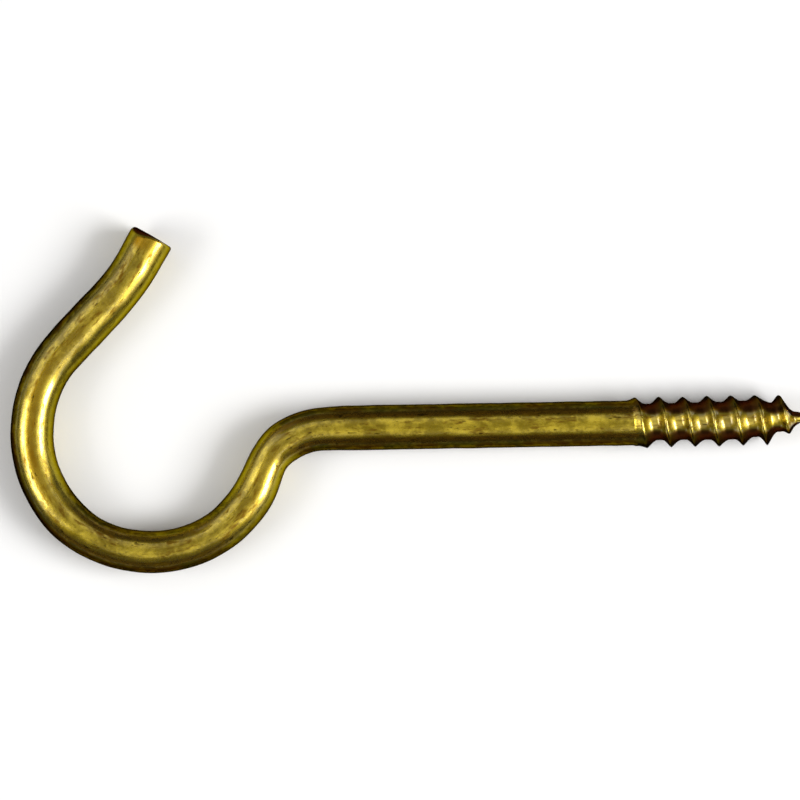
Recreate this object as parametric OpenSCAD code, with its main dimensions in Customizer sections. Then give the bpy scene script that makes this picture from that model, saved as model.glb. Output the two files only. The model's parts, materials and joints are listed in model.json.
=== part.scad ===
/* [Wire] */
// Diameter of the round wire that the whole hook is bent from
wire_d = 4.5; // [3.4:0.1:5.6]
// How much thinner the wire is along a bend, where bending has drawn it out
bend_thinning = 0.04; // [0.03:0.01:0.1]
// Width of the worn chamfer round the cut end of the wire
end_chamfer = 0.3; // [0.1:0.05:0.6]

/* [Shank] */
// Plain straight length between the thread and the tight bend
shank_l = 31; // [12:0.1:80]

/* [Bends] */
// Clear width inside the round bowl of the hook
bowl_inside_d = 19.5; // [12:0.5:36]
// Angle that the wire turns through along the bowl
bowl_sweep = 200; // [180:1:215]
// Inside radius of the tight bend that joins the shank to the bowl
tight_inside_r = 4.1; // [2:0.05:9]
// Straight wire between the tight bend and the bowl
link_l = 1.2; // [0.6:0.1:5]
// Straight wire between the bowl and the outward flare
arm_l = 6.7; // [2:0.1:16]
// Radius of the outward flare, measured to the middle of the wire
flare_r = 23; // [10:0.5:60]
// Angle that the flare turns the wire outwards
flare_sweep = 12.5; // [2:0.5:40]
// Straight wire between the flare and the cut end
tip_l = 2.8; // [1:0.1:10]

/* [Thread] */
// Length of the rolled wood thread, with its point
thread_l = 17.8; // [13:0.1:40]
// Distance from one turn of the ridge to the next
thread_pitch = 2.4; // [2.2:0.05:3.2]
// Where the ridge first stands at its full height, from the start of the thread
first_crest = 0.2; // [0:0.1:1]
// How far the ridge stands out past the surface of the plain wire
crest_rise = 0.35; // [0.2:0.025:0.6]
// How far the root between the ridges lies below that surface
root_depth = 0.3; // [0.2:0.025:0.5]
// Width of the ridge at its foot
ridge_foot_w = 1.4; // [0.9:0.05:1.6]
// Width of the blunt top of the ridge
ridge_crest_w = 0.3; // [0.15:0.05:0.5]
// Length over which the core narrows to the point
point_l = 6.3; // [4:0.1:8]
// Radius of the blunt end of the point
point_r = 0.15; // [0.1:0.05:0.4]

/* [Hidden] */

$fn = 64;
wire_r = wire_d / 2;

// Radii of the bends, to the middle of the wire, and how far a bend reaches into its straight neighbours
tight_r = tight_inside_r + wire_r;
bowl_r = bowl_inside_d / 2 + wire_r;
bend_seat = 0.2;

// The tight bend turns the wire down just so far that the bowl's centre falls on the shank's axis,
// and a load hangs in line with the screw. The bowl's centre is at the height
// (tight_r + bowl_r) cos(a) - link_l sin(a) - tight_r, which is zero at this angle.
tight_sweep = acos(tight_r / norm([tight_r + bowl_r, link_l])) - atan2(link_l, tight_r + bowl_r);

// The wire, stretch by stretch, from the thread to the cut end. A stretch is a length and a radius of 0
// where it is straight. Where it is bent, it is an angle and a radius, which is negative if it turns right.
STRETCHES = [
    [shank_l, 0],
    [tight_sweep, tight_r],
    [link_l, 0],
    [bowl_sweep, -bowl_r],
    [arm_l, 0],
    [flare_sweep, flare_r],
    [tip_l - end_chamfer, 0]
];

// The thread's core is a cylinder that narrows to the point. Its ridge is one right-handed helix, which
// starts inside the shank, reaches its height at the first crest, and runs out on the point.
root_r = wire_r - root_depth;
crest_r = wire_r + crest_rise;
root_run_in = 0.6;
point_start = thread_l - point_l;
point_steps = 10;
point_fullness = 1.5;
bare_tip_l = 1.2;
run_out_l = 2.2;
run_out_start = thread_l - bare_tip_l - run_out_l;

// The ridge is drawn in sections, this many to a turn, from a part of a turn before the first crest.
turn_sections = 32;
lead_in_angle = 150;
ridge_angle = lead_in_angle + 360 * (run_out_start + run_out_l - first_crest) / thread_pitch;
ridge_sections = ceil(turn_sections * ridge_angle / 360);

// Its foot is sunk in the core, and stays clear of the next turn's.
ridge_sink = 0.25;
flank_slope = (ridge_foot_w - ridge_crest_w) / 2 / (crest_r - root_r);
widest_foot = 0.96 * thread_pitch;

// Radius of the core at the distance x along the thread: the root as far as the point,
// then a full curve that falls from the root to the blunt end
function core_radius(x) =
    let (t = max(0, min(1, (x - point_start) / point_l)))
    root_r - (root_r - point_r) * pow(t, point_fullness);

// Radius of the ridge's top, which rises over the lead-in and falls into the core over the run-out
function ridge_radius(angle, x) =
    let (
        lead = min(1, angle / lead_in_angle),
        fall = max(0, (x - run_out_start) / run_out_l),
        buried = core_radius(run_out_start + run_out_l) - ridge_sink / 2
    )
    min(root_r + (crest_r - root_r) * lead, crest_r - (crest_r - buried) * fall);

// One section of the ridge, an angle after its start, as its four corners: foot, top, top and foot
function ridge_section(angle) =
    let (
        turned = angle - lead_in_angle,
        x = first_crest + thread_pitch * turned / 360,
        top = ridge_radius(angle, x),
        foot = min(top, core_radius(x + ridge_foot_w / 2)) - ridge_sink,
        top_half = ridge_crest_w / 2,
        foot_half = min(top_half + flank_slope * (top - foot), widest_foot / 2)
    )
    [for (corner = [[-foot_half, foot], [-top_half, top], [top_half, top], [foot_half, foot]])
        [x + corner[0], corner[1] * cos(turned), corner[1] * sin(turned)]];

// A straight stretch of wire, from the origin along +X
module straight_wire(length) {
    rotate([0, 90, 0])
        cylinder(d = wire_d, h = length);
}

// A stretch of wire that leaves the origin along +X and bends to the left. It is a little thinner
// than the straight wire, and both its ends are seated in the straight wire that they meet.
module bent_wire(sweep, radius) {
    seat_angle = bend_seat / radius * 180 / PI;
    translate([0, radius, 0])
        rotate(-90 - seat_angle)
            rotate_extrude(angle = sweep + 2 * seat_angle)
                translate([radius, 0])
                    circle(d = wire_d - bend_thinning);
}

// One stretch of the wire, straight, or bent to the left or the right
module stretch(amount, radius) {
    if (radius == 0)
        straight_wire(amount);
    else if (radius > 0)
        bent_wire(amount, radius);
    else
        mirror([0, 1, 0])
            bent_wire(amount, -radius);
}

// Moves what follows to the far end of a stretch, heading as the wire does there
module past_stretch(amount, radius) {
    if (radius == 0)
        translate([amount, 0, 0])
            children();
    else
        translate([0, radius, 0])
            rotate(radius > 0 ? amount : -amount)
                translate([0, -radius, 0])
                    children();
}

// The wire from one stretch onwards, each stretch placed at the end of the one before it
module wire_from(i) {
    if (i == len(STRETCHES)) {
        cut_end();
    } else {
        stretch(STRETCHES[i][0], STRETCHES[i][1]);
        past_stretch(STRETCHES[i][0], STRETCHES[i][1])
            wire_from(i + 1);
    }
}

// The chamfered rim of the square cut
module cut_end() {
    rotate([0, 90, 0])
        cylinder(r1 = wire_r, r2 = wire_r - end_chamfer, h = end_chamfer);
}

// The core of the thread: it steps down from the wire to the root, and narrows to the point
module thread_core() {
    point_profile = [for (i = [0 : point_steps])
        let (x = point_start + point_l * i / point_steps) [core_radius(x), x]];
    rotate([90, 0, 90])
        rotate_extrude()
            polygon(concat([[0, 0], [wire_r, 0], [root_r, root_run_in]], point_profile, [[0, thread_l]]));
}

// The ridge of the thread: one bar, wound round the core with its foot sunk in it
module thread_ridge() {
    points = [for (i = [0 : ridge_sections]) each ridge_section(ridge_angle * i / ridge_sections)];
    sides = [for (i = [0 : ridge_sections - 1]) for (j = [0 : 3])
        let (a = 4 * i + j, b = 4 * i + (j + 1) % 4)
        each [[a, b, b + 4], [a, b + 4, a + 4]]];
    last = 4 * ridge_sections;
    ends = [[2, 1, 0], [3, 2, 0], [last, last + 1, last + 2], [last, last + 2, last + 3]];
    polyhedron(points = points, faces = concat(sides, ends));
}

// The hook. Its thread starts at the origin and points along +X, and its wire runs back along -X.
module hook() {
    color([0.62, 0.54, 0.18])
    union() {
        thread_ridge();
        thread_core();
        rotate(180)
            wire_from(0);
    }
}

hook();
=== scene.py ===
# %% [markdown]
# # A screw-in ceiling hook
# The real hook is one length of drawn steel wire. A machine cuts it, rolls a wood thread into one end and
# bends the other end cold, and a barrel of hooks is then plated with brass. So there is one surface to
# make and one finish to give it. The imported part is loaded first, because it says where the hook lies and
# how large it is, and nothing that is made here may leave its box.

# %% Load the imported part
import json
import math

import bpy
import numpy as np
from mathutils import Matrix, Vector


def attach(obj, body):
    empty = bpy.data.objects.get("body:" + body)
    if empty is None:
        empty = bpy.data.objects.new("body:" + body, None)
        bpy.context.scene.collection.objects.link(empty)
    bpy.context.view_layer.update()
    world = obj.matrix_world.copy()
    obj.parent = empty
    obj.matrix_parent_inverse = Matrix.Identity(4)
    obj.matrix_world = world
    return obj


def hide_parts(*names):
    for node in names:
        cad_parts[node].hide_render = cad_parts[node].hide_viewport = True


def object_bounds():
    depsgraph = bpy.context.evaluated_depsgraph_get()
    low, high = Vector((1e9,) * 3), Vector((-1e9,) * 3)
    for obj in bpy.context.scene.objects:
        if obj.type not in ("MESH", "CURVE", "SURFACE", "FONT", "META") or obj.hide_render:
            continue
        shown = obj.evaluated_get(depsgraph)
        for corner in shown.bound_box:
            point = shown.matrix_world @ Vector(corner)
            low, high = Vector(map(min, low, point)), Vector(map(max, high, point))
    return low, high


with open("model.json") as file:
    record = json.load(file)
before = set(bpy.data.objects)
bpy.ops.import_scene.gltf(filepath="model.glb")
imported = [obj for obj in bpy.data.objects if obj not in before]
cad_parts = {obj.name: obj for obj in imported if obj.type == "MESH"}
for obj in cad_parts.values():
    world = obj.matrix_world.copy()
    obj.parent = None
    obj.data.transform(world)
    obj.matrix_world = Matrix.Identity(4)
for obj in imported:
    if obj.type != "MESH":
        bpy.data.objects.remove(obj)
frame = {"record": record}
cad_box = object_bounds()
print("box of the packed part, in metres:", [tuple(round(v, 5) for v in corner) for corner in cad_box])

# %% [markdown]
# ## Sizes
# Everything is worked out in millimetres and turned into metres once, when it goes into a mesh. The wire,
# the thread and the bowl are read from the part's mounts, so that the looks can't drift away from the
# construction. The bends are the few values that a bending machine is set to.

# %% Sizes of the wire, the thread and the bends
MM = 0.001
TURN = 2 * np.pi

mounts = {mount["name"]: mount for mount in frame["record"]["mounts"]}
wire_r = mounts["hook_tip"]["dims"]["r_mm"]
thread_l = mounts["wood_thread"]["dims"]["length_mm"]
crest_limit_r = mounts["wood_thread"]["dims"]["r_mm"]
bowl_inside_r = mounts["bowl_seat"]["dims"]["r_mm"]
bowl_centre_x = mounts["bowl_seat"]["pos_m"][0] / MM + bowl_inside_r
tip_axis = mounts["hook_tip"]["axis"]

tight_inside_r = 4.1
tight_r = tight_inside_r + wire_r
bowl_r = bowl_inside_r + wire_r
bowl_sweep = math.radians(200)
link_l = 1.2
arm_l = 6.7
flare_r = 23.0
flare_sweep = math.radians(12.5)
tip_l = 2.8

tight_sweep = math.atan2(tip_axis[1], tip_axis[0]) - math.pi + bowl_sweep - flare_sweep
shank_l = -bowl_centre_x - (tight_r + bowl_r) * math.sin(tight_sweep) - link_l * math.cos(tight_sweep)
print(f"tight bend {math.degrees(tight_sweep):.2f} degrees, shank {shank_l:.2f} mm")

# %% [markdown]
# ## The middle of the wire
# A bent wire is a curve with a section carried along it. The curve could be joined from exact arcs, but
# wire never changes its bend all at once: it eases in and out where it leaves the pins. So the curvature
# is written down first, smoothed a little, and summed up twice, once for the heading and once for the
# place. Distances are counted along the wire, from zero where the thread meets the shank.

# %% Add up the path
ease_l = 3.6
path_step = 0.01


def wire_path(stretches, ease, step):
    """The middle of the wire from the point to the cut end, as columns of distance, x, y and heading.
    The curvature is one over the radius in a bend and zero on a straight, averaged over the length `ease`.
    The heading is half a turn plus the running sum of the curvature, and the place is the running sum of
    the heading's cosine and sine."""
    ends = np.cumsum([length for length, curvature in stretches])
    distance = np.arange(0, ends[-1] + step, step)
    stretch = np.minimum(np.searchsorted(ends, distance), len(stretches) - 1)
    curvature = np.array([curvature for length, curvature in stretches])[stretch]
    window = np.hanning(int(ease / step))
    curvature = np.convolve(curvature, window / window.sum(), "same")
    heading = np.pi + np.cumsum(curvature) * step
    x = thread_l + np.cumsum(np.cos(heading)) * step
    y = np.cumsum(np.sin(heading)) * step
    return np.column_stack([distance - thread_l, x, y, heading])


stretches = [
    (thread_l, 0),
    (shank_l, 0),
    (tight_r * tight_sweep, 1 / tight_r),
    (link_l, 0),
    (bowl_r * bowl_sweep, -1 / bowl_r),
    (arm_l, 0),
    (flare_r * flare_sweep, 1 / flare_r),
    (tip_l, 0),
]
path = wire_path(stretches, ease_l, path_step)
wire_end = path[-1, 0]
print(f"{wire_end:.2f} mm of wire, ending at x {path[-1, 1]:.3f}, y {path[-1, 2]:.3f} mm")


def on_path(s):
    """The place and the sideways direction at the distances s, read off the path. The sideways direction
    is the heading turned a quarter turn to the right."""
    x, y, heading = (np.interp(s, path[:, 0], path[:, k]) for k in (1, 2, 3))
    return x, y, np.sin(heading), -np.cos(heading)


# %% [markdown]
# ## Smooth lines through a few places
# Many sizes change along a hand-set wire. Each could be a long table, but nobody could read it or change
# it. So each is given at a few places instead, as pairs of a distance and a value, and one helper joins
# them by ramps that start and end level, because metal shows no corners where one pin's work meets the next.

# %% Ramps
def ramp(value, start, end):
    """Zero before the start and one after the end, with the smooth cubic 3t^2 - 2t^3 between."""
    t = np.clip((value - start) / (end - start), 0, 1)
    return t * t * (3 - 2 * t)


def through(s, places):
    """A smooth line through values given at places: the first value, plus each next step times its ramp."""
    total = places[0][1] + 0 * s
    for (s0, v0), (s1, v1) in zip(places, places[1:]):
        total = total + (v1 - v0) * ramp(s, s0, s1)
    return total


print("a ramp at its quarters:", ramp(np.array([0, 0.25, 0.5, 0.75, 1]), 0, 1))

# %% [markdown]
# ## The section of the wire
# A plain circle would look drawn with compasses. Cold bending flattens the wire where it runs round a pin,
# pinches it on the inside of the tight bend and lets it spread a little the other way, and hand-set pins
# never land quite on the drawing. In the bowl the crown of the section leans towards the pin. The wire also
# keeps faint waves from the drawing die and the rollers. All of this could be sculpted by hand, but
# formulas are simpler to correct: a little is added to a circle, at places along the wire.

# %% Width, height, stray and crown of the wire
clearance = 0.01
spreading = 0.02
spread_between = (29, 34)
width_places = [(28, 0), (32.5, -0.11), (35, -0.13), (37.5, -0.28), (41.8, -0.11), (46, -0.14), (54, -0.14)]
width_places += [(59, -0.17), (63.5, -0.06), (70, -0.10), (78, -0.09), (84.5, 0.03), (91, -0.05), (95.5, 0)]
stray_places = [(28, 0), (32, -0.04), (37.3, 0.14), (42, 0), (47, -0.07), (54, -0.02), (61.5, -0.12)]
stray_places += [(67, 0.02), (74, 0.12), (82, 0.06), (91, 0.10), (95.5, 0.02)]
crown_places = [(44, 0), (52, 0.18), (62, 0.24), (69, 0.12), (78, 0.10), (86, 0.03), (91, 0)]


def half_sizes(s):
    """Half the width across the bends and half the height out of them. Both start from the wire's radius:
    the width adds what is given along the wire, and the height starts a clearance less and spreads a
    little from the first bend on."""
    height = wire_r - clearance + spreading * ramp(s, *spread_between)
    return wire_r + through(s, width_places), height


def stray(s):
    """How far the wire's middle strays sideways from the plain arcs."""
    return through(s, stray_places)


def crown_shift(s):
    """How far the top of the section leans towards the inside of the bowl, which the pin has flattened."""
    return through(s, crown_places)


half_width, half_height = half_sizes(np.linspace(0, wire_end, 500))
print(f"half the width {half_width.min():.2f} to {half_width.max():.2f} mm,", end=" ")
print(f"half the height {half_height.min():.2f} to {half_height.max():.2f} mm")

# %% Waves of the wire
wave_height = 0.009
wave_offset = 2.4
wave_lengths = (9.1, 6.3, 4.7, 3.7, 2.9)
wave_lobes = (0, 1, -2, 1, 3)


def waves(s, angle):
    """Faint waves in the radius: half the wave height times a sum of sines along the wire. Each sine has a
    whole number of lobes round the wire, and is set off by its own length so that they don't begin
    together."""
    total = 0
    for length, lobes in zip(wave_lengths, wave_lobes):
        total = total + np.sin(TURN * s / length + lobes * angle + wave_offset * length)
    return wave_height * total / 2


print(f"waves up to {np.abs(waves(np.linspace(0, wire_end, 500), 0)).max():.3f} mm along one side")

# %% [markdown]
# ## The rolled thread
# Rolling presses a groove into the wire and squeezes the metal up into a ridge beside it, so the crest
# stands proud of the shank. Rollers that press unevenly leave the core a little off the wire's middle. The
# thread could be a ridge swept along a helix and joined to the wire, but it runs in and out so gently that
# the join would show. So it is one function again: it gives the radius at each distance and angle.

# %% Core and crests of the thread
pitch = 2.4
point_r = 0.15
core_places = [(0, 1.82), (4.5, 1.85), (9.5, 1.91), (12.5, 1.84), (14.1, 1.42), (15.2, 1.22), (16.1, 0.60)]
core_shift_places = [(-0.1, 0), (1.2, 0.07), (9.5, 0.07), (12, 0.22), (13.8, 0.30), (15.2, 0.12)]
core_shift_places += [(16.1, 0.26)]
crest_shift_places = [(4, 0.02), (12, 0.05)]
nib_start, nib_start_r = core_places[-1]
nib_power = 1.5


def core_radius(x):
    """The radius at the bottom of the groove: the line through its places, and then the taper of the nib,
    which falls with the power 1.5 of the share of the nib's length."""
    nib_share = np.clip((x - nib_start) / (thread_l - nib_start), 0, 1)
    return through(x, core_places) - (nib_start_r - point_r) * nib_share**nib_power


def core_shift(x):
    """How far the core sits off the shank's axis, because the rollers press deeper on one side, most of
    all near the point."""
    return through(x, core_shift_places)


def crest_shift(x):
    """How far the crests sit off the axis, which is less, and grows a little towards the point."""
    return through(x, crest_shift_places)


print(f"core {core_radius(0.0):.2f} mm at the shank, {core_radius(thread_l):.2f} mm at the point")

# %% [markdown]
# ## Counting the turns
# At each place the thread asks how far along the axis the nearest turn of the ridge lies, and how many
# turns that ridge and its groove have run. A plain sine of the angle would be shorter, but it makes a
# thread that never starts or stops. Counting turns lets the groove fade in after the collar and lets the
# ridge run out on the point, so that there is one helix with a start and an end.

# %% Radius of the thread
# The ridge: where its first crest is, how wide its two flanks are, and how its crest is shaped.
first_crest_x = 0.1
front_w = 0.94
back_w = 0.76
flank_power = 1.6
crest_r = 2.53
crest_round = 0.10
crest_wobble = 0.03
wobble_rate = 0.37

# The collar in millimetres, and then the turns over which the ridge runs in, gets lower and runs out.
collar_rise = 0.07
collar_between = (-0.08, 0.10)
hollow_from_x = -0.5
run_in = 0.3
low_turn = 5.4
low_crest = 0.08
last_turn = 6.0
run_out = 0.75


def ridge_outline(away):
    """The height of the ridge, from 0 to 1, at a distance from its crest: (1 - u)^1.6, where u is the
    distance over the width of that flank. The flank towards the point is a little longer. The crest is
    rounded, because a distance d counts as the root of d^2 + r^2, less r."""
    rounded = np.sqrt(away**2 + crest_round**2) - crest_round
    u = np.clip(rounded / np.where(away > 0, front_w, back_w), 0, 1)
    return (1 - u) ** flank_power


def thread_radius(x, angle):
    """The radius at the distance x along the thread, and how deep it lies in the groove, from 0 to 1. The
    turns run are the distance from the first crest over the pitch, less the angle over a full turn. Their
    whole part names the ridge and its groove, and the rest is how far away the ridge is. Between groove and
    crest the radius follows the ridge's outline. The groove is cut in over the first part of a turn, the
    crests wobble with a slow sine and get lower at the end, and then the ridge sinks into the core. Nothing
    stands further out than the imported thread, less a clearance."""
    turn = angle / TURN
    turns_run = (x - first_crest_x) / pitch - turn
    ridge = np.floor(turns_run + back_w / (front_w + back_w))
    groove = np.floor(turns_run)
    outline = ridge_outline((turns_run - ridge) * pitch)
    ridge_turns, groove_turns = turn + ridge, turn + groove

    collar = wire_r + collar_rise * ramp(x, *collar_between)
    core = core_radius(x) + core_shift(x) * np.cos(angle)
    cut = ramp(groove_turns, -run_in, 0.0)
    floor_r = collar + (core - collar) * cut
    full = crest_r + crest_wobble * np.sin(TURN * wobble_rate * ridge_turns)
    full = full - low_crest * ramp(ridge_turns, low_turn, last_turn) + crest_shift(x) * np.cos(angle)
    crest = collar + (full - collar) * ramp(ridge_turns, -run_in, 0.0)
    crest = core + (crest - core) * (1 - ramp(ridge_turns, last_turn, last_turn + run_out))
    radius = floor_r + (crest - floor_r) * outline
    hollow = cut * (1 - outline) * (x > hollow_from_x)
    return np.minimum(radius, crest_limit_r - clearance), hollow


side_radius = thread_radius(np.linspace(0, thread_l, 500), 0.0)[0]
print(f"thread's radius {side_radius.min():.2f} to {side_radius.max():.2f} mm along one side")

# %% [markdown]
# ## One skin for the whole hook
# The thread and the plain wire meet without a seam if both are rows of the same number of points round
# the wire. On the plain wire the rows are rings. On the thread the rows climb with the ridge: each row
# moves one pitch along the axis in one turn, and ends on the row one pitch further on, so the ridge runs
# exactly along the rows and stays crisp with few faces. Where a climbing row would leave the thread it is
# held at the last ring, and its points are the ring's own points.

# %% Rows of points
points_round = 144
rows_per_pitch = 24
ring_gap = 0.36
thread_back = 1.3
cut_l = 1.1
overrun = 1.05
last_ring_s = wire_end - cut_l
point_ring_x = thread_l - point_r
climb_end_x = point_ring_x + pitch * overrun

angles = np.arange(points_round) / points_round * TURN
ring_s = np.linspace(thread_back, last_ring_s, int((last_ring_s - thread_back) / ring_gap))
climb_x = np.arange(-thread_back - pitch, climb_end_x, pitch / rows_per_pitch)
print(len(ring_s), "rings and", len(climb_x), "climbing rows of", points_round, "points")

# %% The skin at any place
hand_over = 0.2


def radii(s, angle):
    """The distances from the wire's middle, sideways and upwards, and the hollow, at places on the skin.
    On the plain wire they are half its width and height by the cosine and sine, with the crown's lean by
    the square of the sine. On the thread the thread's radius takes their place."""
    width, height = half_sizes(s)
    wave = waves(s, angle)
    sideways = (width + wave) * np.cos(angle) + crown_shift(s) * np.sin(angle) ** 2
    upwards = (height + wave) * np.sin(angle)
    radius, hollow = thread_radius(-s, angle)
    on_thread = ramp(-s, -thread_back, -thread_back + hand_over)
    sideways = sideways + (radius * np.cos(angle) - sideways) * on_thread
    upwards = upwards + (radius * np.sin(angle) - upwards) * on_thread
    return sideways, upwards, hollow * on_thread


def skin(s, angle):
    """Points of the skin: the wire's middle, plus the sideways part along the sideways direction, plus
    the upward part along z. Also the same points as if the wire were straight, and their hollow."""
    x, y, side_x, side_y = on_path(s)
    sideways, upwards, hollow = radii(s, angle)
    shifted = sideways + stray(s)
    bent = np.stack([x + shifted * side_x, y + shifted * side_y, upwards], axis=-1)
    straight = np.stack([s + 0 * upwards, sideways, upwards], axis=-1)
    return bent, straight, hollow


halfway = skin(np.full(points_round, wire_end / 2), angles)[0]
print("the ring halfway along the wire spans", np.round(np.ptp(halfway, axis=0), 2), "mm")

# %% [markdown]
# ## The cut end
# The wire was sheared: the blade rolls the edge over where it enters and leaves a sharper edge where it
# leaves. A Bevel modifier would round the edge by the same amount all round. So each point gets its own
# edge radius, and the edge is a quarter of an ellipse from the side of the wire to the flat of the cut.

# %% Rings of the cut end
edge_small = 0.25
edge_rolled = 0.68
edge_power = 6
rolled_angle = 2.3
face_rise = 0.05
# Painted shade on the cut: how it spreads from the rolled side; the power also sets where thin plate shows
# copper.
cut_wear_and_shade_power = 3
cut_shade_shift = 0.9
cut_shade_between = (1.0, 1.55)
edge_rings = 10
face_rings = 7


def rolled_share(angle, power):
    """From 1 where the blade came in to 0 across the wire: (1 + the cosine of the angle from there) / 2,
    raised to a power."""
    return ((1 + np.cos(angle - rolled_angle)) / 2) ** power


def past_end(beyond, sideways, upwards):
    """Places near the cut: the wire's end, moved along the last heading by `beyond`, sideways by the
    stray and the sideways part, and up by the upward part."""
    x, y, side_x, side_y = on_path(wire_end)
    across = sideways + stray(wire_end)
    place_x = x - beyond * side_y + across * side_x
    place_y = y + beyond * side_x + across * side_y
    return np.stack([place_x, place_y, upwards], axis=-1)


def cut_end():
    """Rings from the side of the wire to the middle of the cut. Along the edge t runs over a quarter turn:
    the distance grows with the sine of t and the radius shrinks with its cosine. The edge's radius is small
    all round, and larger where the blade came in. Inside the edge the face is nearly flat, and stands up a
    little in the middle. The face, and the rolled side of the edge as well, get a share of painted shade."""
    edge = edge_small + edge_rolled * rolled_share(angles, edge_power)
    sideways, upwards, hollow = radii(np.full(points_round, last_ring_s), angles)
    radius = np.hypot(sideways, upwards)
    t = np.linspace(0, np.pi / 2, edge_rings)[:, None]
    s_edge = wire_end - edge + edge * np.sin(t)
    shrink_edge = (radius - edge * (1 - np.cos(t))) / radius
    share = np.linspace(1, 0, face_rings + 1)[1:-1, None]
    s_face = wire_end + face_rise * (1 - share**2) + 0 * angles
    shrink_face = share * (radius - edge) / radius
    s = np.vstack([s_edge, s_face])
    shrink = np.vstack([shrink_edge, shrink_face])
    bent = past_end(s - wire_end, sideways * shrink, upwards * shrink)
    straight = np.stack([s, sideways * shrink, upwards * shrink], axis=-1)
    # The share of the cut's face and rolled edge that is painted dark, which is painted shade.
    cut_shade = ramp(t + cut_shade_shift * rolled_share(angles, cut_wear_and_shade_power), *cut_shade_between)
    return bent, straight, np.vstack([cut_shade, np.ones(s_face.shape)])


print(f"edge radius {edge_small} mm, and up to {edge_small + edge_rolled:.2f} mm where the blade came in")

# %% [markdown]
# ## The point
# A rolled point ends in a nib that is almost sharp. A single point would give a pinched shine, so a small
# half ball closes it.

# %% Rings of the nose
nose_rings = 4


def nose():
    """Rings from the last ring of the thread to the very point: a half ball of the point's radius."""
    t = np.linspace(0, np.pi / 2, nose_rings + 1)[1:-1, None]
    x = point_ring_x + point_r * np.sin(t) + 0 * angles
    radius = point_r * np.cos(t)
    sideways = radius * np.cos(angles) + core_shift(thread_l)
    bent = np.stack([x, sideways, radius * np.sin(angles)], axis=-1)
    straight = np.stack([-x, sideways, bent[..., 2]], axis=-1)
    return bent, straight, np.zeros(x.shape)


print("the nose has", nose_rings - 1, "rings on a ball of radius", point_r, "mm")

# %% [markdown]
# ## Where the shade is painted
# The flanks of the wire, between its two broad sides, are painted dark by the angle round the wire. This is
# painted shade, which stands in for the dim room that the flanks mirror, and its strength is given along the
# wire for each side. The very side of a flank is painted a little lighter again, a painted reflection of the
# floor. It could be painted on by hand, but shares worked out from the place on the wire stay right when a
# size changes. Two are worked out here for each point of the skin: how much painted shade it has, and how
# much of the painted brown border between the broad sides and the dark.

# %% Shares of painted shade and of its brown border
# How strong the painted shade of each flank is along the wire.
left_flank_shade_places = [(33, 1), (38, 0.3), (43, 0.65), (50, 1), (68, 1), (73, 0.85), (86, 0.9), (95, 0.5)]
right_flank_shade_places = [(33, 1), (37, 0.5), (40, 0.35), (45, 0.75), (52, 0.75), (61, 0.95), (70, 0.25)]
right_flank_shade_places += [(80, 0.6), (92, 0.3)]
# How strong the painted lighter rim and the painted brown border are along the wire.
rim_and_border_places = [(34, 1), (38, 0.35), (43, 0.2), (48, 0.8), (60, 0.9), (66, 0.15), (84, 0.15)]
rim_and_border_places += [(95, 0.35)]
thread_run_in = 0.6

# Where the painted shade and its border come and go, by the cosine of the angle: 0 on the crown, 1 on the
# side.
shade_from, shade_from_sooner = 0.39, 0.16
shade_to, shade_to_sooner = 0.80, 0.12
# Painted light: the very side of each flank loses some painted shade, a painted reflection of the floor.
painted_rim_light = 0.34
painted_rim_across = (0.80, 0.95)
# The painted brown border, which is painted shade between the broad sides and the dark.
shade_border_rise = (0.38, 0.52)
shade_border_fall = (0.62, 0.80)


def thread_share(s):
    """From 0 on the shank to 1 on the thread."""
    return ramp(-s, 0, thread_run_in)


def flank_shade_strength(s, angle):
    """How strong the painted shade is along the wire, on the flank on this side."""
    return np.where(np.cos(angle) > 0, through(s, right_flank_shade_places), through(s, left_flank_shade_places))


def painted_flank_shade_share(s, angle):
    """Painted shade, from 0 on the broad sides to 1 on a flank: a ramp of the cosine of the angle, which
    starts and ends sooner on the thread, times the flank's share. The very side of the flank loses some of
    it, which paints a lighter rim, a painted reflection."""
    across = np.abs(np.cos(angle))
    start = shade_from - shade_from_sooner * thread_share(s)
    end = shade_to - shade_to_sooner * thread_share(s)
    rim_light = ramp(across, *painted_rim_across) * through(s, rim_and_border_places) * (1 - thread_share(s))
    return ramp(across, start, end) * flank_shade_strength(s, angle) * (1 - painted_rim_light * rim_light)


def painted_border_share(s, angle):
    """The painted brown border between the broad sides and the painted dark flanks, which is painted shade
    too: up and down again with the cosine of the angle, times the flank's share and the share given along the
    wire for the rim and the border."""
    across = np.abs(np.cos(angle))
    border = ramp(across, *shade_border_rise) * (1 - ramp(across, *shade_border_fall))
    return border * flank_shade_strength(s, angle) * through(s, rim_and_border_places)


whole_way = np.linspace(0, wire_end, 500)
print(f"tarnish of the sides: left {painted_flank_shade_share(whole_way, np.pi).mean():.2f}", end=", ")
print(f"right {painted_flank_shade_share(whole_way, 0.0).mean():.2f} on the mean")

# %% [markdown]
# ## Where the plate and the lacquer are thin
# Two more shares say how thin the brass is worn, and how much of the clear lacquer is left on it. The
# brass is thinnest on the worn crown and where the blade came into the cut. The lacquer is gone from the
# flanks, and thin on the crown, on the shank and at the bottom of the bowl.

# %% Shares of thin plate and of lacquer
worn_crown_places = [(34, 0), (39, 0.25), (46, 0), (63, 0), (69, 0.6), (76, 0.6), (82, 0.2), (95, 0)]
lacquer_places = [(-2, 1), (4, 0.45), (26, 0.45), (36, 1), (46, 0.9), (53, 0.75), (60, 0.75), (67, 1)]
thin_from, thin_to = 2.2, 1.2
crown_up = (0.96, 1.0)

# How much lacquer is lost, and where it is lost, by the cosine of the angle again.
crown_loss = 0.55
crown_across = (0.10, 0.36)
fade_from, fade_from_sooner = 0.55, 0.20
fade_to, fade_to_sooner = 0.74, 0.19
border_loss = 0.7


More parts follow.
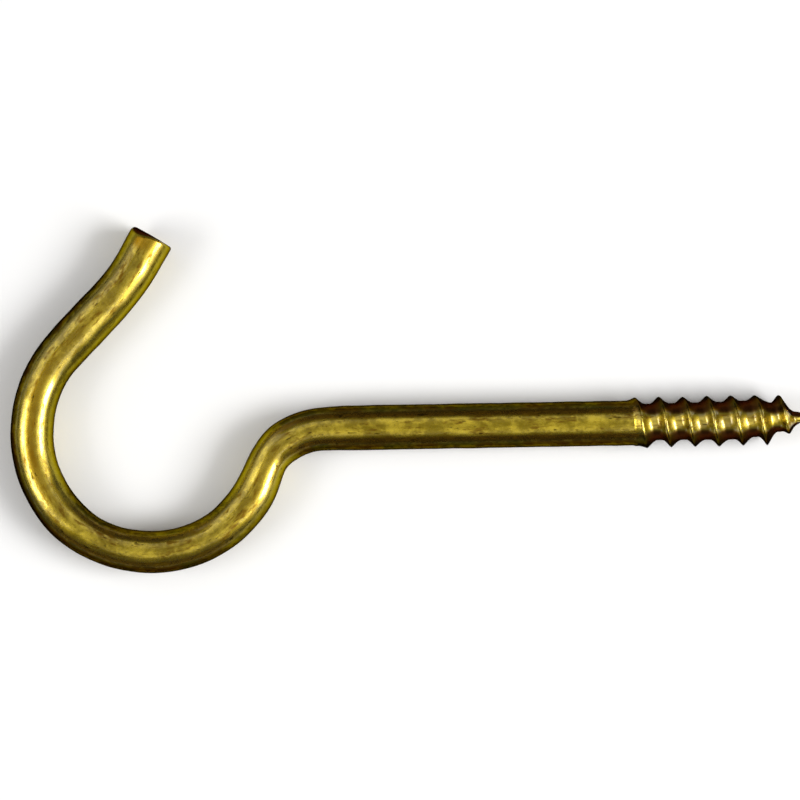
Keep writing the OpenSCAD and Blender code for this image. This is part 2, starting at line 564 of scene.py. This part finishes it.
def thin_share(s, angle):
    """How thin the plate is: a ramp towards the cut on its rolled side, or the crown's worn line if that is
    more."""
    at_cut = ramp(s, wire_end - thin_from, wire_end - thin_to) * rolled_share(angle, cut_wear_and_shade_power)
    on_crown = ramp(np.abs(np.sin(angle)), *crown_up) * through(s, worn_crown_places)
    return np.maximum(at_cut, on_crown)


def lacquer_share(s, angle):
    """How much lacquer is left: the share given along the wire, less along the crown of the plain wire,
    fading to nothing on the flanks (sooner on the thread), less on the painted brown border and none on thin
    plate."""
    across = np.abs(np.cos(angle))
    crown = 1 - crown_loss * (1 - ramp(across, *crown_across)) * (1 - thread_share(s))
    start = fade_from - fade_from_sooner * thread_share(s)
    end = fade_to - fade_to_sooner * thread_share(s)
    bare = np.maximum(thin_share(s, angle), border_loss * painted_border_share(s, angle))
    return through(s, lacquer_places) * crown * (1 - ramp(across, start, end)) * (1 - bare)


print(f"lacquer along the crown: {lacquer_share(whole_way, np.pi / 2).mean():.2f} on the mean")

# %% [markdown]
# ## Putting the skin together
# All points go into one list, and the faces are worked out as whole tables of numbers, which is far quicker
# than adding faces one by one. A climbing row's last column joins the first column one pitch further on.
# Rows that were held at an end ring use that ring's own points, which turns some four-sided faces into
# triangles and some into nothing. A ring that closes on a pole gets a fan of triangles.

# %% Number the points and join the rows
def number_points(parts):
    """A table of point numbers for each part of the skin, counted on from part to part, and their count."""
    tables, count = [], 0
    for bent, straight, hollow in parts:
        tables.append(count + np.arange(hollow.size).reshape(hollow.shape))
        count += hollow.size
    return tables, count


def join_rows(first, second):
    """Four-sided faces between two tables of point numbers, each row closed on itself."""
    return np.stack([first, np.roll(first, -1, 1), np.roll(second, -1, 1), second], axis=-1).reshape(-1, 4)


def join_climbing(rows):
    """Four-sided faces between the climbing rows: inside the rows each point with its neighbours, and where
    the turn closes the last column with the first column one pitch further on."""
    low, high = rows[:-1], rows[1:]
    inside = np.stack([low[:, :-1], low[:, 1:], high[:, 1:], high[:, :-1]], axis=-1).reshape(-1, 4)
    ahead = rows[rows_per_pitch:, 0]
    behind = rows[: len(ahead), -1]
    return np.vstack([inside, np.stack([behind[:-1], ahead[:-1], ahead[1:], behind[1:]], axis=-1)])


def tidy_faces(quads, fans):
    """Sorts the faces by how many different corners they have: four, three, or too few to keep."""
    same = quads == np.roll(quads, -1, axis=1)
    repeats = same.sum(1)
    whole = quads[repeats == 0]
    short, twin = quads[repeats == 1], same[repeats == 1]
    return whole, np.vstack([short[~twin].reshape(-1, 3), fans])


print("two rings of three points join as", join_rows(np.array([[0, 1, 2]]), np.array([[3, 4, 5]])).tolist())

# %% Join the whole hook
def build_hook():
    """The points, the straightened points, the hollow, the quads and the triangles of the whole hook."""
    climb = climb_x[:, None] + pitch * angles[None, :] / TURN
    held = np.clip(climb, -thread_back, point_ring_x)
    wire = skin(ring_s[:, None], angles[None, :])
    thread = skin(-held, np.broadcast_to(angles, held.shape))
    parts = [wire, cut_end(), thread, nose()]
    (wire_n, cut_n, thread_n, tip_n), count = number_points(parts)
    cut_pole, tip_pole = np.full(points_round, count), np.full(points_round, count + 1)

    front_ring = thread_n[-1]
    thread_n = np.where(climb <= -thread_back, wire_n[0], thread_n)
    thread_n = np.where(climb >= point_ring_x, front_ring, thread_n)
    along_wire = np.vstack([wire_n, cut_n])
    along_tip = np.vstack([front_ring, tip_n])
    sides = [join_rows(along_wire[1:], along_wire[:-1]), join_climbing(thread_n)]
    sides.append(join_rows(along_tip[:-1], along_tip[1:]))
    cut_fan = np.stack([np.roll(cut_n[-1], -1), cut_n[-1], cut_pole], axis=-1)
    tip_fan = np.stack([tip_n[-1], np.roll(tip_n[-1], -1), tip_pole], axis=-1)

    poles = np.array([past_end(face_rise, 0, 0), [thread_l, core_shift(thread_l), 0]])
    straight_poles = np.array([[wire_end, 0, 0], [-thread_l, 0, 0]])
    points = np.vstack([part[0].reshape(-1, 3) for part in parts] + [poles])
    straight = np.vstack([part[1].reshape(-1, 3) for part in parts] + [straight_poles])
    hollow = np.concatenate([part[2].ravel() for part in parts] + [np.array([1.0, 0.0])])
    return points, straight, hollow, *tidy_faces(np.vstack(sides), np.vstack([cut_fan, tip_fan]))


points, straight, hollow, quads, triangles = build_hook()
used = np.unique(np.concatenate([quads.ravel(), triangles.ravel()]))
number = np.zeros(len(points), int)
number[used] = np.arange(len(used))
print(len(used), "points,", len(quads), "quads and", len(triangles), "triangles")

# %% [markdown]
# ## The mesh and what it remembers
# Here the numbers become a Blender mesh, which takes the place of the imported part's plain hook. A finish
# could only guess where a point lies along a bent wire, so the mesh stores it: the straightened place, and
# each share that was worked out above. On the cut the hollow says how dark the end is painted, which is
# painted
# shade: it counts with the painted flank shade and the groove, and has no lacquer.

# %% Make the mesh
end_zone_l = 2

mesh = bpy.data.meshes.new("bent_wire_hook")
mesh.from_pydata(points[used] * MM, [], number[quads].tolist() + number[triangles].tolist())
mesh.shade_smooth()


def remember(name, values, kind="FLOAT", field="value"):
    """Stores one value for each point of the mesh, under a name that the finish reads."""
    attribute = mesh.attributes.new(name, kind, "POINT")
    attribute.data.foreach_set(field, values.ravel())
    print(f"the mesh remembers {name}, from {values.min():.2f} to {values.max():.2f}")


skin_s, skin_angle = straight[used, 0], np.arctan2(straight[used, 2], straight[used, 1])
# The dark of the cut end is painted shade.
painted_dark_cut_end = hollow[used] * (skin_s > wire_end - end_zone_l)
remember("unbent", straight[used], "FLOAT_VECTOR", "vector")
remember("in_groove", hollow[used])
# Painted shade: the dark flanks, and the painted dark of the cut end.
remember("painted_flank_shade", np.maximum(painted_flank_shade_share(skin_s, skin_angle), painted_dark_cut_end))
remember("thin_plate", thin_share(skin_s, skin_angle))
# Painted shade: the brown border between the broad sides and the dark flanks.
remember("painted_shade_border", painted_border_share(skin_s, skin_angle))
remember("lacquer", lacquer_share(skin_s, skin_angle) * (1 - painted_dark_cut_end))
mesh.validate()
mesh.update()

hook = bpy.data.objects.new("bent_wire_hook", mesh)
bpy.context.scene.collection.objects.link(hook)
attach(hook, "root")
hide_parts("hook")
print(f"{hook.name} is {np.round(np.array(hook.dimensions) / MM, 1)} mm in size")

# %% [markdown]
# ## Small helpers for the finish
# A material is a graph of nodes, and writing it out node by node is long and hard to read. Each helper adds
# a node or two, sets the values and joins them up. Patterns read the straightened wire in millimetres, so a
# pattern's scale is its number of marks to a millimetre, and marks follow the wire round every bend.

# %% Node helpers
def add_node(tree, kind, values=None, **settings):
    """A node of a kind, with its settings, and its sockets' values by name or number."""
    node = tree.nodes.new(kind)
    for name, value in settings.items():
        setattr(node, name, value)
    for socket, value in (values or {}).items():
        node.inputs[socket].default_value = value
    return node


def remembered(tree, name, output="Fac"):
    """What the mesh remembers under a name."""
    return add_node(tree, "ShaderNodeAttribute", attribute_name=name).outputs[output]


def noise(tree, place, marks, detail, roughness=0.5):
    """Smooth noise from about 0.3 to 0.7. The place on the straightened wire is multiplied by the number of
    marks to a millimetre along the wire and across it, so that one unit is one mark long and one wide."""
    along, across = marks
    stretched = add_node(tree, "ShaderNodeVectorMath", {1: (along, across, across)}, operation="MULTIPLY")
    tree.links.new(place, stretched.inputs[0])
    node = add_node(tree, "ShaderNodeTexNoise", {"Scale": 1.0, "Detail": detail, "Roughness": roughness})
    tree.links.new(stretched.outputs[0], node.inputs["Vector"])
    return node.outputs[0]


def rescale(tree, value, old, new=(0.0, 1.0)):
    """Stretches the old range smoothly onto the new range, and cuts off what lies outside."""
    ends = {"From Min": old[0], "From Max": old[1], "To Min": new[0], "To Max": new[1]}
    node = add_node(tree, "ShaderNodeMapRange", ends, interpolation_type="SMOOTHSTEP")
    tree.links.new(value, node.inputs["Value"])
    return node.outputs[0]


print("helpers:", ", ".join(helper.__name__ for helper in (add_node, remembered, noise, rescale)))

# %% Sums and blends
def math_node(tree, operation, *values):
    """One sum of two or three values, each a socket or a number."""
    node = add_node(tree, "ShaderNodeMath", operation=operation)
    for socket, value in zip(node.inputs, values):
        if isinstance(value, (int, float)):
            socket.default_value = value
        else:
            tree.links.new(value, socket)
    return node.outputs[0]


def times(tree, value, factor):
    """The product of two values, each a socket or a number."""
    return math_node(tree, "MULTIPLY", value, factor)


def blend_colour(tree, share, first, second):
    """The first colour where the share is 0, and the second where it is 1."""
    node = add_node(tree, "ShaderNodeMix", data_type="RGBA")
    tree.links.new(share, node.inputs["Factor"])
    for socket, value in ((node.inputs[6], first), (node.inputs[7], second)):
        if isinstance(value, tuple):
            socket.default_value = value + (1.0,)
        else:
            tree.links.new(value, socket)
    return node.outputs[2]


print("more helpers:", ", ".join(helper.__name__ for helper in (math_node, times, blend_colour)))

# %% [markdown]
# ## Marks of age on the wire
# Barrel plating leaves a thin, slightly grainy brass coat that takes on every line of the drawn wire. With
# age it dulls in patches and browns in streaks along the wire, and small pits open. An image of old brass
# could be wrapped round the wire, but it would show its seam and repeat. So each kind of mark is a noise of
# its own, stretched to the shape of that mark.

# %% Noises for the marks
# Marks to a millimetre, along the wire and across it, and then the range of the noise that shows.
broad_marks = (0.32, 0.45)
grain_marks = (1.3, 1.8)
streak_marks = (0.55, 2.1)
pit_marks = (0.95, 2.9)
line_marks = (0.12, 14.0)
dull_range = (0.36, 0.60)
brown_range = (0.505, 0.665)
pit_range = (0.64, 0.74)


def marks_of_age(tree):
    """Sockets by name: what the mesh remembers, and the marks. Dull patches come from the mean of a broad
    noise and a grainy one, brown streaks and pits from the upper part of noises of their own."""
    # Among what the mesh remembers are the painted shade of the flanks and its painted brown border.
    names = ("in_groove", "painted_flank_shade", "thin_plate", "painted_shade_border", "lacquer")
    marks = {name: remembered(tree, name) for name in names}
    place = remembered(tree, "unbent", "Vector")
    marks["broad"] = noise(tree, place, broad_marks, detail=3)
    marks["grain"] = noise(tree, place, grain_marks, detail=3, roughness=0.64)
    marks["lines"] = noise(tree, place, line_marks, detail=3, roughness=0.6)
    mean = math_node(tree, "ADD", times(tree, marks["broad"], 0.5), times(tree, marks["grain"], 0.5))
    marks["dull"] = rescale(tree, mean, dull_range)
    streaks = noise(tree, place, streak_marks, detail=4, roughness=0.66)
    marks["brown"] = rescale(tree, streaks, brown_range)
    marks["pit"] = rescale(tree, noise(tree, place, pit_marks, detail=2), pit_range)
    return marks


for title, (along, across) in (("grain", grain_marks), ("streaks", streak_marks), ("pits", pit_marks)):
    print(f"{title}: about {1 / along:.2f} mm long and {1 / across:.2f} mm wide")

# %% [markdown]
# ## Colour of the plating
# The finish is built in layers: bright and olive brass, brown streaks and copper where the plate is thin,
# which are the plating's own colours; then painted shade on the flanks, which turns olive, brown at its
# border and at last nearly black; then the grooves, darker deeper in, and more so in the painted shade and
# at the cut end; and the pits, which are nearly black. Each layer covers the one before by its share.

# %% Colours, layer by layer
bright_brass = (0.95, 0.71, 0.050)
olive_brass = (0.38, 0.27, 0.008)
brown_tarnish = (0.190, 0.088, 0.010)
copper_tint = (0.50, 0.27, 0.010)
# Colours of the painted shade on the flanks: olive where it starts, a brown border, then nearly black or
# reddish.
painted_shade_olive = (0.38, 0.305, 0.030)
painted_border_brown = (0.28, 0.140, 0.010)
painted_flank_dark = (0.049, 0.041, 0.009)
painted_flank_red = (0.056, 0.034, 0.008)
# Darker deeper in the groove, and painted shade where the groove lies on a painted dark flank or at the cut
# end.
groove_and_shade_dark = (0.060, 0.019, 0.007)
black_pit = (0.020, 0.012, 0.005)

# How fully a layer covers what is below it, and the ranges over which a share turns from one to the next.
brown_cover = 0.85
border_cover = 0.9
pit_cover = 0.7
olive_range = (0.0, 0.35)
dark_range = (0.25, 0.9)
red_range = (0.40, 0.60)
grain_range = (0.35, 0.65)
uneven_range = (0.82, 1.0)
groove_least = 0.12
groove_more = 0.8


def plating_colour(tree, marks):
    """The layers from bright brass to pits. The painted shade on the flanks is made uneven by the grain, and
    it is reddish instead of olive in broad patches. A groove is covered more where it lies in the painted
    shade as well."""
    colour = blend_colour(tree, marks["dull"], bright_brass, olive_brass)
    colour = blend_colour(tree, times(tree, marks["brown"], brown_cover), colour, brown_tarnish)
    colour = blend_colour(tree, marks["thin_plate"], colour, copper_tint)
    # Painted shade from here on: the flanks turn olive, brown at the border and nearly black, by the angle
    # round the wire.
    colour = blend_colour(tree, rescale(tree, marks["painted_flank_shade"], olive_range), colour, painted_shade_olive)
    colour = blend_colour(tree, times(tree, marks["painted_shade_border"], border_cover), colour, painted_border_brown)
    uneven = times(tree, marks["painted_flank_shade"], rescale(tree, marks["grain"], grain_range, uneven_range))
    flank = blend_colour(tree, rescale(tree, marks["broad"], red_range), painted_flank_dark, painted_flank_red)
    colour = blend_colour(tree, rescale(tree, uneven, dark_range), colour, flank)
    # The grooves: darker deeper in, and more on the flanks and at the cut end, which is painted shade.
    covered = math_node(tree, "MULTIPLY_ADD", marks["painted_flank_shade"], groove_more, groove_least)
    colour = blend_colour(tree, times(tree, marks["in_groove"], covered), colour, groove_and_shade_dark)
    return blend_colour(tree, times(tree, marks["pit"], pit_cover), colour, black_pit)


layers = (olive_brass, brown_tarnish, copper_tint, painted_shade_olive, painted_border_brown, painted_flank_dark, groove_and_shade_dark)
print(len(layers) + 1, "layers over bright brass, down to the pits at", black_pit)

# %% [markdown]
# ## Lacquer, roughness and relief
# A clear lacquer over the brass gives the streaks of light their pale core, so it is a clear coat, and not a
# paler brass. Tarnish is rougher than metal. A fine relief of grain, lines along the wire and pits breaks
# up the reflections, which would look like those of new chrome on a perfectly smooth wire.

# %% Lacquer, roughness and relief
dull_loss = 0.15
smooth_range = (0.3, 0.7)
rough_range = (0.22, 0.32)
brown_rough = 0.08
groove_rough = 0.15
grain_relief = 0.8
line_relief = 0.2
pit_relief = 0.35
relief_strength = 0.4
relief_mm = 0.03


def lacquer_weight(tree, marks):
    """The lacquer that is left, less a little on dull brass, and none on brown streaks or pits."""
    on_dull = math_node(tree, "MULTIPLY_ADD", marks["dull"], -dull_loss, 1.0)
    eaten = math_node(tree, "MAXIMUM", marks["brown"], marks["pit"])
    return times(tree, times(tree, marks["lacquer"], on_dull), math_node(tree, "SUBTRACT", 1.0, eaten))


def plating_roughness(tree, marks):
    """Roughness by the grain, plus a share of the brown streaks and of the grooves."""
    rough = rescale(tree, marks["grain"], smooth_range, rough_range)
    rough = math_node(tree, "ADD", rough, times(tree, marks["brown"], brown_rough))
    return math_node(tree, "MULTIPLY_ADD", marks["in_groove"], groove_rough, rough)


def fine_relief(tree, marks):
    """The bumped normal: the height is a share of the grain plus one of the lines, less one of the pits."""
    grain, lines = times(tree, marks["grain"], grain_relief), times(tree, marks["lines"], line_relief)
    height = math_node(tree, "ADD", grain, lines)
    height = math_node(tree, "SUBTRACT", height, times(tree, marks["pit"], pit_relief))
    node = add_node(tree, "ShaderNodeBump", {"Strength": relief_strength, "Distance": relief_mm * MM})
    tree.links.new(height, node.inputs["Height"])
    return node.outputs[0]


print(f"relief of {relief_mm} mm at a strength of {relief_strength}")

# %% [markdown]
# ## The finish
# One shader carries it all. A metal's colour lies in what it mirrors, so the brass is the base colour of a
# metallic surface. What is the same all over the wire is set on the shader's own sockets.

# %% Material of the plated wire
lacquer_roughness = 0.11
lacquer_ior = 1.85
edge_tint = (0.02, 0.015, 0.01)


def plated_wire():
    """Aged brass plating: colour, roughness and relief by the marks of age, under what is left of a clear
    lacquer. The edge tint is nearly black, which darkens what the metal mirrors at a glancing angle."""
    material = bpy.data.materials.new("aged_brass_plating")
    material.use_nodes = True
    tree = material.node_tree
    sockets = tree.nodes["Principled BSDF"].inputs
    marks = marks_of_age(tree)
    tree.links.new(plating_colour(tree, marks), sockets["Base Color"])
    tree.links.new(plating_roughness(tree, marks), sockets["Roughness"])
    tree.links.new(fine_relief(tree, marks), sockets["Normal"])
    tree.links.new(lacquer_weight(tree, marks), sockets["Coat Weight"])
    sockets["Coat Roughness"].default_value = lacquer_roughness
    sockets["Coat IOR"].default_value = lacquer_ior
    sockets["Metallic"].default_value = 1.0
    sockets["Specular Tint"].default_value = edge_tint + (1.0,)
    return material


mesh.materials.append(plated_wire())
print("finish:", mesh.materials[0].name, "with", len(mesh.materials[0].node_tree.nodes), "nodes")

# %% [markdown]
# ## The floor
# The hook lies on a plain pale sheet. One flat face is enough, wide enough that its edge is never seen, and
# quite matt, so that only the hook's soft shadow shows on it. Its top is the lowest level of the packed
# part, where the thread's crest touches it.

# %% Floor
floor_size = 3.0
floor_colour = (0.98, 0.98, 0.98)
floor_z = cad_box[0].z


def pale_paper():
    """A matt, nearly white surface that mirrors nothing."""
    paper = bpy.data.materials.new("pale_paper")
    paper.use_nodes = True
    sockets = paper.node_tree.nodes["Principled BSDF"].inputs
    sockets["Base Color"].default_value = floor_colour + (1.0,)
    sockets["Roughness"].default_value = 1.0
    sockets["Specular IOR Level"].default_value = 0.0
    return paper


half = floor_size / 2
corners = [(x, y, floor_z) for x, y in ((-half, -half), (half, -half), (half, half), (-half, half))]
floor_mesh = bpy.data.meshes.new("floor")
floor_mesh.from_pydata(corners, [], [(0, 1, 2, 3)])
floor_mesh.materials.append(pale_paper())
floor = bpy.data.objects.new("floor", floor_mesh)
bpy.context.scene.collection.objects.link(floor)
print("floor at z", round(floor_z / MM, 2), "mm")

# %% [markdown]
# ## Light
# Polished wire shows its lights as streaks, so the lights are placed by what the wire should mirror. One
# wide soft panel hangs overhead and gives the band along the middle, and two faint ones widen it. A soft
# box stands on the left and one on the right, about halfway down from overhead, and each has a brighter
# middle, which gives a streak where the wire runs across it. Two small panels at the back, one above the
# other, light the side of the wire that faces them. The room around is dim, which keeps the flanks dark.
# Small bare lamps would be simpler, but on polished wire they show as thin hard lines.

# %% Soft boxes
centre = (cad_box[0] + cad_box[1]) / 2


def soft_box(name, azimuth, from_zenith, distance, width, height, radiance):
    """A flat lamp that faces the hook. It hangs at an angle from straight overhead, in the direction of the
    azimuth, which is 0 along +x and a quarter turn along +y. Its width runs away from overhead and its
    height across that. A lamp's power is four times its radiance by its area."""
    lamp = bpy.data.lights.new(name, "AREA")
    lamp.shape = "RECTANGLE"
    lamp.size, lamp.size_y = width, height
    lamp.energy = 4 * radiance * width * height
    holder = bpy.data.objects.new(name, lamp)
    a, z = math.radians(azimuth), math.radians(from_zenith)
    away = (math.sin(z) * math.cos(a), math.sin(z) * math.sin(a), math.cos(z))
    holder.location = [c + distance * d for c, d in zip(centre, away)]
    holder.rotation_euler = (0, z, a)
    bpy.context.scene.collection.objects.link(holder)


# Each row: name, azimuth and angle from overhead in degrees, distance, width and height in metres, radiance.
soft_boxes = [
    ("overhead_panel", 90, 2, 0.70, 1.24, 0.62, 0.215),
    ("overhead_front", 270, 25, 0.74, 0.42, 0.56, 0.14),
    ("overhead_back", 90, 27, 0.74, 0.46, 0.56, 0.14),
    ("back_panel", 144, 50, 0.80, 0.46, 0.40, 0.52),
    ("low_back_panel", 141, 71, 0.85, 0.28, 0.85, 0.24),
    ("right_box", -12, 51, 0.80, 0.82, 0.84, 0.80),
    ("right_box_middle", -11, 51, 0.75, 0.33, 0.44, 7.4),
    ("left_box", 191, 49, 0.80, 0.64, 0.60, 0.80),
    ("left_box_middle", 190, 51, 0.75, 0.24, 0.38, 3.2),
]
for row in soft_boxes:
    soft_box(*row)
print(len(soft_boxes), "soft boxes, the brightest of them", max(soft_boxes, key=lambda row: row[-1])[0])

# %% The dim room
room_colour = (0.080, 0.074, 0.064)

world = bpy.data.worlds.new("dim_room")
world.use_nodes = True
world.node_tree.nodes["Background"].inputs["Color"].default_value = room_colour + (1.0,)
world.node_tree.nodes["Background"].inputs["Strength"].default_value = 1.0
bpy.context.scene.world = world
print("the room's colour:", room_colour)

# %% [markdown]
# ## Camera
# The camera looks straight down on the hook as it lies, from far enough that the wire shows no
# perspective. It is rolled by one degree, so the shank rises a little to the right, and it frames 80 mm.
# The lens follows from that: its length is to the sensor's width as the height is to the width in view.

# %% Camera
view_width = 80.0
camera_height = 450.0
camera_roll = math.radians(-1.01)
view_middle = (-23.356, 2.703)
sensor_w = 36.0
clip_near, clip_far = 0.01, 10.0

camera_data = bpy.data.cameras.new("camera")
camera_data.sensor_width = sensor_w
camera_data.lens = camera_data.sensor_width * camera_height / view_width
camera_data.clip_start = clip_near
camera_data.clip_end = clip_far
camera = bpy.data.objects.new("camera", camera_data)
camera.location = (view_middle[0] * MM, view_middle[1] * MM, camera_height * MM)
camera.rotation_euler = (0, 0, camera_roll)
bpy.context.scene.collection.objects.link(camera)
bpy.context.scene.camera = camera
bpy.context.scene.view_settings.view_transform = "Standard"
print(f"lens {camera_data.lens:.1f} mm, {camera_height:.0f} mm above the hook")
